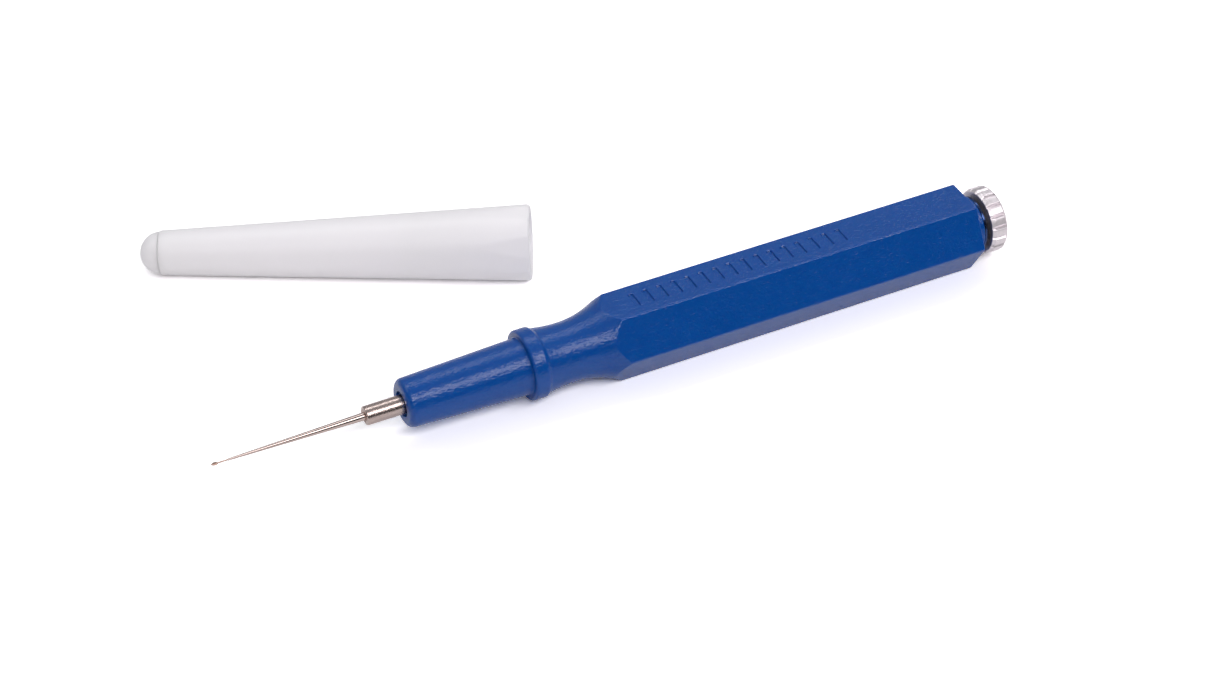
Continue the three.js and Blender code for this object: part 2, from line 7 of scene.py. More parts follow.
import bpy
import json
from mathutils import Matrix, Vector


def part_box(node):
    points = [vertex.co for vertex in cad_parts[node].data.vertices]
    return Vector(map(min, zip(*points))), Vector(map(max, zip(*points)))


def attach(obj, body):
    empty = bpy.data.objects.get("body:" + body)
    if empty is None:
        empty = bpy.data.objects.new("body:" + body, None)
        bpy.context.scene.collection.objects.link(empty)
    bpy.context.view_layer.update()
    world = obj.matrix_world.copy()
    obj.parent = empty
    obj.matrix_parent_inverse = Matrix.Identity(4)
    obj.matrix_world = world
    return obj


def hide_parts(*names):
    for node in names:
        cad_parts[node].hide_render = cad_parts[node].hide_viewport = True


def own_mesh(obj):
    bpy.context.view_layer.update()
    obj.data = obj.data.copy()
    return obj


bl_info = {
    "name": "Automatic oiler",
    "version": (1, 0, 0),
    "blender": (4, 5, 0),
    "location": "3D View > Sidebar > Oiler",
    "description": "Builds a watchmaker's oiler, its cap and the stage that it lies on",
    "category": "Object",
}

import json
import math

import bmesh
import bpy
import numpy as np
from bpy.props import FloatProperty, FloatVectorProperty, IntProperty, PointerProperty
from mathutils import Matrix, Vector

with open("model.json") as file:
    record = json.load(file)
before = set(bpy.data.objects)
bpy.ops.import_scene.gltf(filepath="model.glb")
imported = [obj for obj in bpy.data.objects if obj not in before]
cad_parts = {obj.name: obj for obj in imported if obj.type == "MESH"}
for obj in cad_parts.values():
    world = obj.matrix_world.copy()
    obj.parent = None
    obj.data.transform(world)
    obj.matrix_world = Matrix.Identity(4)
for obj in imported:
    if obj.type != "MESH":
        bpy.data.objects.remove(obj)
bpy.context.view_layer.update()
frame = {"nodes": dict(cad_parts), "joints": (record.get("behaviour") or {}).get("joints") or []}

MM = 0.001

# Places that the frame gives.
HANDLE_LOW, HANDLE_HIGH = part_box("handle_shell")
FERRULE_LOW, FERRULE_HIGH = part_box("needle_ferrule")
TUBE_LOW, TUBE_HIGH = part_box("needle_tube")
WIRE_LOW, WIRE_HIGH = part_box("dosing_wire")
SPRING_LOW, SPRING_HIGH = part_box("return_spring")
PLUG_LOW, PLUG_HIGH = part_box("rear_plug")
BUTTON_LOW, BUTTON_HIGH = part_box("push_button")
SEAL_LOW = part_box("ferrule_seal")[0]
BUSH_LOW, BUSH_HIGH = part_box("rear_bush")
GLAND_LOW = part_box("rod_gland")[0]
AXIS_Z = (HANDLE_LOW.z + HANDLE_HIGH.z) / 2
FIT = 0.03 * MM  # clearance between pieces that don't move on each other
RUN = 0.05 * MM  # clearance between pieces that do
CAP_AXIS = Vector(next(j["axis"] for j in frame["joints"] if j["name"] == "cap_pull_off"))


# ---- Settings ----


def linear(code):
    """Linear colour from an sRGB hex value."""
    shares = [((code >> shift) & 255) / 255 for shift in (16, 8, 0)]
    return [s / 12.92 if s <= 0.04045 else ((s + 0.055) / 1.055) ** 2.4 for s in shares]


def length(name, description, millimetres):
    return FloatProperty(
        name=name, description=description, default=millimetres * MM, unit="LENGTH", precision=6)


def colour(name, description, code):
    return FloatVectorProperty(
        name=name, description=description, default=linear(code), size=3, subtype="COLOR", min=0, max=1)


class OILER_PG_handle(bpy.types.PropertyGroup):
    across_flats: length("Across flats", "Height of the grip", (HANDLE_HIGH.z - HANDLE_LOW.z) / MM)
    corner_round: length("Corner round", "Radius of the grip's long edges", 0.3)
    end_round: length("End round", "Radius of the edge at the grip's rear face", 0.16)
    crease: length("Crease", "Softness of the line where the waist runs into the flats", 0.05)
    grip_front: length("Grip front", "Place where the waist has grown to the corners", -23.3)
    grip_rear: length("Grip rear", "Place of the grip's rear face", 23.5)
    boss_radius: length("Boss radius", "Round boss behind the grip", 3.45)
    waist_radius: length("Waist radius", "Narrowest place behind the collar", 3.53)
    cove_radius: length("Cove radius", "Hollow curve from the waist to the grip", 11.3)
    waist_length: length("Waist length", "From the collar to the narrowest place", 3.5)
    collar_radius: length("Collar radius", "Largest radius of the collar", 4.15)
    collar_width: length("Collar width", "Width of the collar", 2)
    collar_back: length("Collar back radius", "Where the waist starts behind the collar", 3.87)
    nose_root: length("Nose root radius", "Nose at the collar", 3.34)
    nose_tip: length("Nose tip radius", "Nose at its front face", 2.85)
    sink_radius: length("Sink radius", "Shallow sink round the ferrule", 1.5)
    sink_depth: length("Sink depth", "Depth of that sink", 0.45)
    bore_radius: length("Bore radius", "Main bore", 1.95)
    bar_count: IntProperty(name="Bars", description="Debossed bars on the top flat", default=16, min=1)
    bar_pitch: length("Bar pitch", "Spacing of the bars", 1.8)
    bar_setback: length("Bar setback", "From the front of the grip to the first bar", 2.8)
    bar_width: length("Bar width", "Size of a bar along the tool", 0.6)
    bar_height: length("Bar height", "Size of a bar across the tool", 2.3)
    bar_depth: length("Bar depth", "How deep the bars are", 0.2)


class OILER_PG_needle(bpy.types.PropertyGroup):
    ferrule_radius: length("Ferrule radius", "Outside of the ferrule", 1.117)
    flange_width: length("Flange width", "Flange that holds the ferrule inside", 0.8)
    tube_root: length("Tube root radius", "Tube at the ferrule", 0.475)
    tube_tip: length("Tube tip radius", "Tube at its open end", 0.13)
    tube_bore: length("Tube bore radius", "Fine bore at the tip", 0.1)
    tube_root_bore: length("Tube root bore radius", "Bore inside the ferrule", 0.25)
    oil_hole: length("Oil hole radius", "Bore at the back of the ferrule", 0.7)
    wire_radius: length("Wire radius", "Dosing wire", 0.08)
    spade_length: length("Spade length", "Hammered end of the wire", 0.9)
    spade_half: length("Spade half width", "Half of the spade's width", 0.3)
    spring_radius: length("Spring radius", "Centre line of the coil", 1.1)
    spring_wire: length("Spring wire radius", "Wire of the coil", 0.12)
    spring_turns: FloatProperty(name="Spring turns", description="Turns of the coil", default=7)


class OILER_PG_rear(bpy.types.PropertyGroup):
    flange_radius: length("Flange radius", "Plug flange in front of the button", 3.35)
    flange_width: length("Flange width", "Thickness of that flange", 0.3)
    thread_radius: length("Thread radius", "Plug inside the bush", 2.1)
    thread_length: length("Thread length", "From the flange to the spigot", 6.3)
    spigot_radius: length("Spigot radius", "Plug inside the oil tube", 1.45)
    groove_setback: length("Groove setback", "From the spigot's end to the ring groove", 0.7)
    groove_width: length("Groove width", "Width of the ring groove", 0.6)
    groove_radius: length("Groove radius", "Bottom of the ring groove", 1.1)
    rod_radius: length("Rod radius", "Rod of the button", 0.5)
    stem_radius: length("Stem radius", "Stem of the button", 1.25)
    button_radius: length("Button radius", "Outside of the button", 4)
    button_thickness: length("Button thickness", "Knob of the button", 2.1)
    lead_depth: length("Lead depth", "Radial size of the slope at the knob's front edge", 0.25)
    lead_length: length("Lead length", "Axial size of that slope", 0.45)
    button_chamfer: length("Button chamfer", "Chamfer at the knob's rear face", 0.3)
    rod_depth: length("Rod depth", "How far the rod goes into the knob", 0.88)
    flutes: IntProperty(name="Flutes", description="Grooves round the button", default=18, min=3)
    flute_depth: length("Flute depth", "Depth of a groove", 0.34)
    flute_half: FloatProperty(
        name="Flute half angle", description="Half of a groove's width", subtype="ANGLE",
        default=math.radians(3.6))


class OILER_PG_cap(bpy.types.PropertyGroup):
    shell_length: length("Shell length", "Cap without its domed plug", 44.05)
    mouth_radius: length("Mouth radius", "Outside at the mouth", 4.535)
    tip_radius: length("Tip radius", "Outside at the narrow end", 2.66)
    flat_depth: length("Flat depth", "Depth of the six short flats at the mouth", 0.205)
    mouth_round: length("Mouth round", "Rounding of the mouth's rim", 0.35)
    lead: length("Lead-in", "How much the bore widens at the mouth", 0.23)
    lead_length: length("Lead-in length", "Length of that widening", 0.5)
    nose_room: length("Nose room", "Between the nose and the end of its bore", 0.45)
    needle_bore: length("Needle bore radius", "Bore round the needle", 1.6)
    seat_radius: length("Seat radius", "Hole for the domed plug", 1.7)
    seat_length: length("Seat length", "Depth of that hole", 4)
    dome_step: length("Dome step", "Step between the shell's end and the dome", 0.13)
    dome_length: length("Dome length", "Length of the dome", 2.42)
    mouth_place: FloatVectorProperty(
        name="Mouth place", description="Centre of the mouth, seen from above",
        default=(-23.85 * MM, 20.2 * MM), size=2, unit="LENGTH", precision=6)


class OILER_PG_colours(bpy.types.PropertyGroup):
    grip: colour("Grip", "Blue moulding", 0x004A99)
    cap: colour("Cap", "White moulding", 0xF6F4F7)
    nickel: colour("Nickel", "Plated ferrule, needle tube and plug", 0xC6B5AF)
    steel: colour("Steel", "Wire, spring and rod", 0xB9B3AE)
    aluminium: colour("Aluminium", "Press button", 0xF7F0F4)
    brass: colour("Brass", "Turned inner pieces", 0xD2B36A)
    rubber: colour("Rubber", "Seals", 0x1C1C1E)
    floor: colour("Floor", "Paper that the tool lies on", 0xF4F3F3)


class OILER_PG_settings(bpy.types.PropertyGroup):
    handle: PointerProperty(type=OILER_PG_handle)
    needle: PointerProperty(type=OILER_PG_needle)
    rear: PointerProperty(type=OILER_PG_rear)
    cap: PointerProperty(type=OILER_PG_cap)
    colours: PointerProperty(type=OILER_PG_colours)


# ---- Nodes ----


def add(tree, kind, inputs=None, **settings):
    """Adds a node with its settings. An input's value is a number, a colour or a socket to link."""
    node = tree.nodes.new(kind)
    for name, value in settings.items():
        setattr(node, name, value)
    for socket, value in (inputs or {}).items():
        if isinstance(value, bpy.types.NodeSocket):
            tree.links.new(value, node.inputs[socket])
        else:
            node.inputs[socket].default_value = value
    return node


def finish(name, base, roughness, metallic=0.0, ior=None):
    """A new material with its shader. Base colour and roughness are linked by the caller."""
    material = bpy.data.materials.get(name) or bpy.data.materials.new(name)
    material.use_nodes = True
    tree = material.node_tree
    tree.nodes.clear()
    shader = add(tree, "ShaderNodeBsdfPrincipled", {
        "Base Color": (*base, 1), "Roughness": roughness, "Metallic": metallic})
    if ior:
        shader.inputs["IOR"].default_value = ior
    add(tree, "ShaderNodeOutputMaterial", {"Surface": shader.outputs["BSDF"]})
    material.diffuse_color = (*base, 1)
    return material, tree, shader


def grain(tree, size, stretch=(1, 1, 1), detail=2.0):
    """Noise whose grains are about the given size in metres, in the object's own space."""
    coords = add(tree, "ShaderNodeTexCoord")
    scaled = add(tree, "ShaderNodeMapping", {
        "Vector": coords.outputs["Object"], "Location": (0, 0, -AXIS_Z), "Scale": stretch})
    noise = add(tree, "ShaderNodeTexNoise", {
        "Vector": scaled.outputs["Vector"], "Scale": 1 / size, "Detail": detail})
    return noise.outputs["Fac"]


def spread(tree, factor, low, high):
    """Turns noise into numbers between low and high."""
    node = add(tree, "ShaderNodeMapRange", {
        "Value": factor, "From Min": 0.2, "From Max": 0.8, "To Min": low, "To Max": high}, clamp=False)
    return node.outputs["Result"]


def tint(tree, factor, first, second):
    """Mixes two colours by a factor."""
    node = add(tree, "ShaderNodeMix", data_type="RGBA")
    tree.links.new(factor, node.inputs["Factor"])
    node.inputs[6].default_value = (*first, 1)
    node.inputs[7].default_value = (*second, 1)
    return node.outputs[2]


def relief(tree, shader, height, depth):
    """Bumps the shader by a height field whose full swing is the given depth in metres."""
    bump = add(tree, "ShaderNodeBump", {"Height": height, "Distance": depth, "Strength": 1.0})
    tree.links.new(bump.outputs["Normal"], shader.inputs["Normal"])


def shade(base, share):
    return [value * share for value in base]


# ---- Finishes ----
#
# Stains, clouds and waves are about as large as real ones. Mould grain, pits and tool marks are mostly finer
# than 0.1 mm, which wouldn't show, so they are drawn at 0.1 to 0.3 mm and deeper than real ones.


def moulded_blue_abs(colours):
    """ABS, injection moulded in a spark-eroded mould: deep even blue, satin gloss, and a fine grain that
    breaks the highlights into dots."""
    base = list(colours.grip)
    material, tree, shader = finish("moulded_blue_abs", base, 0.19, ior=1.44)
    clouds = grain(tree, 4 * MM)
    skin = grain(tree, 0.27 * MM, (0.7, 1, 1), 2)
    tree.links.new(tint(tree, clouds, shade(base, 0.95), shade(base, 1.05)), shader.inputs["Base Color"])
    tree.links.new(spread(tree, clouds, 0.16, 0.22), shader.inputs["Roughness"])
    shader.inputs["Subsurface Weight"].default_value = 0.6
    shader.inputs["Subsurface Radius"].default_value = (0.3, 0.6, 1)
    shader.inputs["Subsurface Scale"].default_value = 0.5 * MM
    relief(tree, shader, skin, 0.06 * MM)
    return material


def moulded_white_polypropylene(colours):
    """Polypropylene, injection moulded: milky white, soft satin, with faint waves along the draw."""
    base = list(colours.cap)
    material, tree, shader = finish("moulded_white_polypropylene", base, 0.42, ior=1.49)
    clouds = grain(tree, 6 * MM, (0.5, 1, 1))
    skin = grain(tree, 0.3 * MM, detail=1)
    tree.links.new(tint(tree, clouds, shade(base, 0.97), base), shader.inputs["Base Color"])
    tree.links.new(spread(tree, clouds, 0.38, 0.46), shader.inputs["Roughness"])
    shader.inputs["Subsurface Weight"].default_value = 0.8
    shader.inputs["Subsurface Radius"].default_value = (1, 1, 1)
    shader.inputs["Subsurface Scale"].default_value = 1.2 * MM
    relief(tree, shader, skin, 0.006 * MM)
    return material


def bright_nickel(colours):
    """Nickel plate on turned brass: warm white metal, slightly pitted and mottled."""
    base = list(colours.nickel)
    material, tree, shader = finish("bright_nickel", base, 0.22, 1.0)
    pits = grain(tree, 0.12 * MM, (0.6, 1, 1), 1)
    spots = grain(tree, 0.25 * MM)
    tree.links.new(tint(tree, spots, shade(base, 0.85), base), shader.inputs["Base Color"])
    tree.links.new(spread(tree, spots, 0.2, 0.3), shader.inputs["Roughness"])
    relief(tree, shader, pits, 0.012 * MM)
    return material


def polished_nickel(colours):
    """Nickel plate on the finely drawn tube: smooth and bright, with one sharp streak of light."""
    base = shade(colours.nickel, 1.05)
    material, tree, shader = finish("polished_nickel", base, 0.1, 1.0)
    waves = grain(tree, 0.3 * MM, (0.05, 1, 1), 1)
    spots = grain(tree, 0.6 * MM)
    tree.links.new(tint(tree, spots, shade(base, 0.9), base), shader.inputs["Base Color"])
    tree.links.new(spread(tree, spots, 0.08, 0.12), shader.inputs["Roughness"])
    relief(tree, shader, waves, 0.0003 * MM)
    return material


def oily_nickel(colours):
    """Nickel plate under the button, glossy and mottled; its colour is darkened and tinted blue as painted
    shade and painted reflection of the grip.
    """
    # Painted shade: the nickel colour is darkened and tinted blue to stand in for the shaded gap and the blue
    # grip reflected in it.
    base = [colours.nickel[0] * 0.08, colours.nickel[1] * 0.17, colours.nickel[2] * 0.45]
    material, tree, shader = finish("oily_nickel", base, 0.2, 1.0)
    blotches = grain(tree, 0.8 * MM)
    tree.links.new(tint(tree, blotches, shade(base, 0.6), shade(base, 1.3)), shader.inputs["Base Color"])
    tree.links.new(spread(tree, blotches, 0.12, 0.3), shader.inputs["Roughness"])
    relief(tree, shader, blotches, 0.01 * MM)
    return material


def drawn_steel(colours):
    """Stainless steel, drawn through a die: grey, with fine lines along its length."""
    base = list(colours.steel)
    material, tree, shader = finish("drawn_steel", base, 0.22, 1.0)
    lines = grain(tree, 0.12 * MM, (0.03, 1, 1), 1)
    spots = grain(tree, 0.5 * MM)
    tree.links.new(tint(tree, spots, shade(base, 0.85), base), shader.inputs["Base Color"])
    tree.links.new(spread(tree, spots, 0.17, 0.3), shader.inputs["Roughness"])
    relief(tree, shader, lines, 0.004 * MM)
    return material


def tempered_steel(colours):
    """Fine steel wire, tempered and oily: pale brown, with a dull gleam."""
    base = [colours.steel[0] * 1.1, colours.steel[1] * 0.8, colours.steel[2] * 0.7]
    material, tree, shader = finish("tempered_steel", base, 0.3, 1.0)
    stains = grain(tree, 0.2 * MM)
    tree.links.new(tint(tree, stains, shade(base, 0.7), base), shader.inputs["Base Color"])
    tree.links.new(spread(tree, stains, 0.25, 0.4), shader.inputs["Roughness"])
    relief(tree, shader, stains, 0.003 * MM)
    return material


def turned_aluminium(colours):
    """Aluminium bar, turned and then fluted with a form cutter: pale, slightly mottled, half matt."""
    base = list(colours.aluminium)
    material, tree, shader = finish("turned_aluminium", base, 0.3, 1.0)
    scores = grain(tree, 0.1 * MM, (0.15, 1, 1), 2)
    mottle = grain(tree, 0.35 * MM)
    tree.links.new(tint(tree, mottle, shade(base, 0.78), base), shader.inputs["Base Color"])
    tree.links.new(spread(tree, mottle, 0.36, 0.5), shader.inputs["Roughness"])
    relief(tree, shader, scores, 0.018 * MM)
    return material


def turned_brass(colours):
    """Free-cutting brass as it leaves the lathe: yellow, with fine rings."""
    base = list(colours.brass)
    material, tree, shader = finish("turned_brass", base, 0.28, 1.0)
    rings = grain(tree, 0.12 * MM, (1, 0.05, 0.05), 1)
    stains = grain(tree, 1.2 * MM)
    tree.links.new(tint(tree, stains, shade(base, 0.8), base), shader.inputs["Base Color"])
    tree.links.new(spread(tree, stains, 0.22, 0.36), shader.inputs["Roughness"])
    relief(tree, shader, rings, 0.005 * MM)
    return material


def moulded_nitrile(colours):
    """Nitrile rubber, compression moulded: black, dull, slightly dusty."""
    base = list(colours.rubber)
    material, tree, shader = finish("moulded_nitrile", base, 0.7, ior=1.52)
    dust = grain(tree, 0.4 * MM)
    tree.links.new(tint(tree, dust, base, shade(base, 1.8)), shader.inputs["Base Color"])
    tree.links.new(spread(tree, dust, 0.6, 0.8), shader.inputs["Roughness"])
    relief(tree, shader, dust, 0.01 * MM)
    return material


def matt_paper(colours):
    """Coated studio paper: white and quite matt, with a faint tooth. The camera sees it three quarters of a
    stop brighter than it lights the tool, so it burns out to white and only contact shadows are left."""
    lift_for_camera = 0.65
    base = list(colours.floor)
    material, tree, shader = finish("matt_paper", base, 0.85, ior=1.45)
    tooth = grain(tree, 1.5 * MM)
    tree.links.new(tint(tree, tooth, shade(base, 0.99), base), shader.inputs["Base Color"])
    shader.inputs["Specular IOR Level"].default_value = 0.1
    seen = add(tree, "ShaderNodeLightPath")
    lift = add(tree, "ShaderNodeMath", {
        0: seen.outputs["Is Camera Ray"], 1: lift_for_camera}, operation="MULTIPLY")
    extra = add(tree, "ShaderNodeBsdfDiffuse", {"Color": lift.outputs["Value"]})
    both = add(tree, "ShaderNodeAddShader", {0: shader.outputs["BSDF"], 1: extra.outputs["BSDF"]})
    out = next(node for node in tree.nodes if node.type == "OUTPUT_MATERIAL")
    tree.links.new(both.outputs["Shader"], out.inputs["Surface"])
    return material


# ---- Mesh helpers ----


def rounded(corners):
    """Open outline through corners given as (x, radius, fillet), with true arcs and support points."""
    points = [Vector(c[:2]) for c in corners]
    spans = [b - a for a, b in zip(points, points[1:])]
    reach = [0.0] * len(points)
    for i in range(1, len(points) - 1):
        turn = spans[i - 1].angle(spans[i], 0.0)
        reach[i] = corners[i][2] * math.tan(turn / 2)
    room = [1.0] * len(points)
    for i, span in enumerate(spans):
        wanted = reach[i] + reach[i + 1]
        share = min(1.0, 0.98 * span.length / wanted) if wanted else 1.0
        room[i] = min(room[i], share)
        room[i + 1] = min(room[i + 1], share)
    outline = [points[0]]
    for i in range(1, len(points) - 1):
        cut = reach[i] * room[i]
        if cut < 1e-9:
            outline.append(points[i])
            continue
        before = -spans[i - 1].normalized()
        after = spans[i].normalized()
        support = 0.4 * cut
        if spans[i - 1].length - cut - reach[i - 1] * room[i - 1] > 2 * support:
            outline.append(points[i] + before * (cut + support))
        steps = max(2, math.ceil(math.degrees(spans[i - 1].angle(spans[i])) / 11))
        turn = spans[i - 1].angle(spans[i])
        radius = cut / math.tan(turn / 2)
        centre = points[i] + (before + after).normalized() * (radius / math.cos(turn / 2))
        start = points[i] + before * cut - centre
        side = math.copysign(1, spans[i - 1].x * spans[i].y - spans[i - 1].y * spans[i].x)
        for k in range(steps + 1):
            angle = side * turn * k / steps
            cos, sin = math.cos(angle), math.sin(angle)
            outline.append(centre + Vector((start.x * cos - start.y * sin, start.x * sin + start.y * cos)))
        if spans[i].length - cut - reach[i + 1] * room[i + 1] > 2 * support:
            outline.append(points[i] + after * (cut + support))
    outline.append(points[-1])
    return [(p.x, p.y) for p in outline]


def rings_from(stations, radii, angles):
    """Rings about the tool's axis. radii has one row for each station and one column for each angle."""
    x = np.repeat(np.array(stations)[:, None], len(angles), axis=1)
    return np.stack([x, radii * np.cos(angles), radii * np.sin(angles)], axis=2)


def full_turn(count):
    return np.arange(count) * 2 * math.pi / count


def mesh_from_rings(name, rings, looped=False, wrapped=True):
    """Mesh of quads over rings of points. looped joins the last ring to the first one, and a ring that has
    shrunk to the axis becomes one point."""
    rows, columns, _ = rings.shape
    mesh = bpy.data.meshes.new(name)
    grid = bmesh.new()
    points = [[grid.verts.new(p) for p in ring] for ring in rings]
    for i in range(rows if looped else rows - 1):
        lower, upper = points[i], points[(i + 1) % rows]
        for j in range(columns if wrapped else columns - 1):
            k = (j + 1) % columns
            grid.faces.new((lower[j], lower[k], upper[k], upper[j]))
    bmesh.ops.remove_doubles(grid, verts=grid.verts, dist=0.0005 * MM)
    bmesh.ops.dissolve_degenerate(grid, edges=grid.edges, dist=0.0001 * MM)
    bmesh.ops.recalc_face_normals(grid, faces=grid.faces)
    grid.to_mesh(mesh)
    grid.free()
    return mesh


def turned(name, outline, columns=96, looped=False):
    """Turned mesh about the tool's axis from an outline of (x, radius)."""
    stations = [p[0] for p in outline]
    radii = np.repeat(np.array([p[1] for p in outline])[:, None], columns, axis=1)
    return mesh_from_rings(name, rings_from(stations, radii, full_turn(columns)), looped)


def place(name, mesh, material, matrix=None):
    """Object at the origin with its place in its mesh, faces outwards and crisp edges kept."""
    mesh.transform(matrix or Matrix.Translation((0, 0, AXIS_Z)))
    tidy = bmesh.new()
    tidy.from_mesh(mesh)
    bmesh.ops.recalc_face_normals(tidy, faces=tidy.faces)
    tidy.to_mesh(mesh)
    tidy.free()
    mesh.shade_smooth()
    mesh.set_sharp_from_angle(angle=math.radians(32))
    mesh.materials.clear()
    mesh.materials.append(material)
    piece = bpy.data.objects.new(name, mesh)
    bpy.context.scene.collection.objects.link(piece)
    return piece


def hand_over(piece, body, slot, *nodes):
    """Gives a finished piece its body and hides the frame nodes that it stands for; the slot argument is not
    used.
    """
    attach(piece, body)
    if nodes:
        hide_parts(*nodes)


def hexagon_reach(angles, apothem, corner):
    """Distance from the axis to the side of a hexagon with rounded corners, at each angle."""
    sector = math.radians(60)
    off = np.abs((angles + sector / 2) % sector - sector / 2)
    centre = (apothem - corner) / math.cos(sector / 2)
    touch = math.atan2(corner * math.sin(sector / 2), centre + corner * math.cos(sector / 2))
    flat = apothem / np.cos(sector / 2 - off)
    arc = centre * np.cos(off) + np.sqrt(np.maximum(corner ** 2 - (centre * np.sin(off)) ** 2, 0))
    return np.where(off < touch, arc, flat)


def soft_min(first, second, softness):
    """The smaller of two radii, with a soft edge where they cross."""
    near = np.maximum(softness - np.abs(first - second), 0) / softness
    return np.minimum(first, second) - near ** 2 * softness / 4


# ---- Geometry Nodes ----


def new_tree(name, sockets):
    """Geometry tree with named inputs. Each socket is (name, type, default)."""
    tree = bpy.data.node_groups.new(name, "GeometryNodeTree")
    tree.interface.new_socket("Geometry", in_out="INPUT", socket_type="NodeSocketGeometry")
    for label, kind, default in sockets:
        socket = tree.interface.new_socket(label, in_out="INPUT", socket_type="NodeSocket" + kind)
        if default is not None:
            socket.default_value = default
    tree.interface.new_socket("Geometry", in_out="OUTPUT", socket_type="NodeSocketGeometry")
    return tree, tree.nodes.new("NodeGroupInput").outputs


def end_tree(tree, geometry, material):
    """Ends a tree in real geometry with its material."""
    real = add(tree, "GeometryNodeRealizeInstances", {"Geometry": geometry})
    painted = add(tree, "GeometryNodeSetMaterial", {
        "Geometry": real.outputs["Geometry"], "Material": material})
    add(tree, "NodeGroupOutput", {"Geometry": painted.outputs["Geometry"]})


def grown(mesh, tree, inputs):
    """Plain mesh that a tree makes from a mesh and its named inputs."""
    host = bpy.data.objects.new(tree.name, mesh)
    bpy.context.scene.collection.objects.link(host)
    modifier = host.modifiers.new(tree.name, "NODES")
    modifier.node_group = tree
    for item in tree.interface.items_tree:
        if item.in_out == "INPUT" and item.name in inputs:
            modifier[item.identifier] = inputs[item.name]
    depsgraph = bpy.context.evaluated_depsgraph_get()
    result = bpy.data.meshes.new_from_object(host.evaluated_get(depsgraph))
    host.modifiers.remove(modifier)
    bpy.data.objects.remove(host)
    bpy.data.node_groups.remove(tree)
    return result


def bar_tree(material):
    """Sinks a row of equal shapes into a mesh."""
    tree, given = new_tree("grip_bars", [
        ("Cutter", "Object", None), ("Count", "Int", 16),
        ("First", "Vector", None), ("Pitch", "Float", 0.0018)])
    step = add(tree, "ShaderNodeCombineXYZ", {"X": given["Pitch"]})
    row = add(tree, "GeometryNodeMeshLine", {
        "Count": given["Count"], "Start Location": given["First"], "Offset": step.outputs["Vector"]})
    cutter = add(tree, "GeometryNodeObjectInfo", {"Object": given["Cutter"]})
    copies = add(tree, "GeometryNodeInstanceOnPoints", {
        "Points": row.outputs["Mesh"], "Instance": cutter.outputs["Geometry"]})
    cutters = add(tree, "GeometryNodeRealizeInstances", {"Geometry": copies.outputs["Instances"]})
    cut = add(tree, "GeometryNodeMeshBoolean", {
        "Mesh 1": given["Geometry"], "Mesh 2": cutters.outputs["Geometry"]},
        operation="DIFFERENCE", solver="EXACT")
    end_tree(tree, cut.outputs["Mesh"], material)
    return tree


def flute_tree(material):
    """Repeats one sector of the knob all round its axis and closes the seams."""
    tree, given = new_tree("button_flutes", [("Count", "Int", 18)])
    line = add(tree, "GeometryNodeMeshLine", {"Count": given["Count"], "Offset": (0, 0, 0)})
    index = add(tree, "GeometryNodeInputIndex")
    share = add(tree, "ShaderNodeMath", {0: index.outputs["Index"], 1: given["Count"]}, operation="DIVIDE")
    turn = add(tree, "ShaderNodeMath", {0: share.outputs["Value"], 1: 2 * math.pi}, operation="MULTIPLY")
    angles = add(tree, "ShaderNodeCombineXYZ", {"X": turn.outputs["Value"]})
    copies = add(tree, "GeometryNodeInstanceOnPoints", {
        "Points": line.outputs["Mesh"], "Instance": given["Geometry"], "Rotation": angles.outputs["Vector"]})
    real = add(tree, "GeometryNodeRealizeInstances", {"Geometry": copies.outputs["Instances"]})
    closed = add(tree, "GeometryNodeMergeByDistance", {
        "Geometry": real.outputs["Geometry"], "Distance": 0.001 * MM})
    end_tree(tree, closed.outputs["Geometry"], material)
    return tree


def spring_tree(material):
    """Coil of round wire along X."""
    tree, given = new_tree("spring_coil", [
        ("Radius", "Float", 0.001), ("Wire", "Float", 0.0001),
        ("Length", "Float", 0.005), ("Turns", "Float", 7.0)])
    spiral = add(tree, "GeometryNodeCurveSpiral", {
        "Resolution": 48, "Rotations": given["Turns"], "Start Radius": given["Radius"],
        "End Radius": given["Radius"], "Height": given["Length"]})
    lying = add(tree, "GeometryNodeTransform", {
        "Geometry": spiral.outputs["Curve"], "Rotation": (0, math.pi / 2, 0)})
    section = add(tree, "GeometryNodeCurvePrimitiveCircle", {"Resolution": 14, "Radius": given["Wire"]})
    coil = add(tree, "GeometryNodeCurveToMesh", {
        "Curve": lying.outputs["Geometry"], "Profile Curve": section.outputs["Curve"], "Fill Caps": True})
    end_tree(tree, coil.outputs["Mesh"], material)
    return tree


# ---- Handle ----


def grip_angles():
    """Angles round the grip: fine at the six rounded corners and even over the flats."""
    corner = [0, 0.42, 0.84, 1.26, 1.68, 2.1]
    flat = list(np.linspace(3.4, 56.6, 38))
    sector = corner + flat + [60 - a for a in reversed(corner[1:])]
    return np.radians([60 * i + a for i in range(6) for a in sector])


def waist_place(s):
    """Where the waist is narrowest, from the curve that runs into the grip."""
    rise = s.across_flats / math.sqrt(3) - s.waist_radius
    return s.grip_front - math.sqrt(s.cove_radius ** 2 - (s.cove_radius - rise) ** 2)


def collar_front(s):
    """Front face of the collar, where the cap seats."""
    return waist_place(s) - s.waist_length - s.collar_width


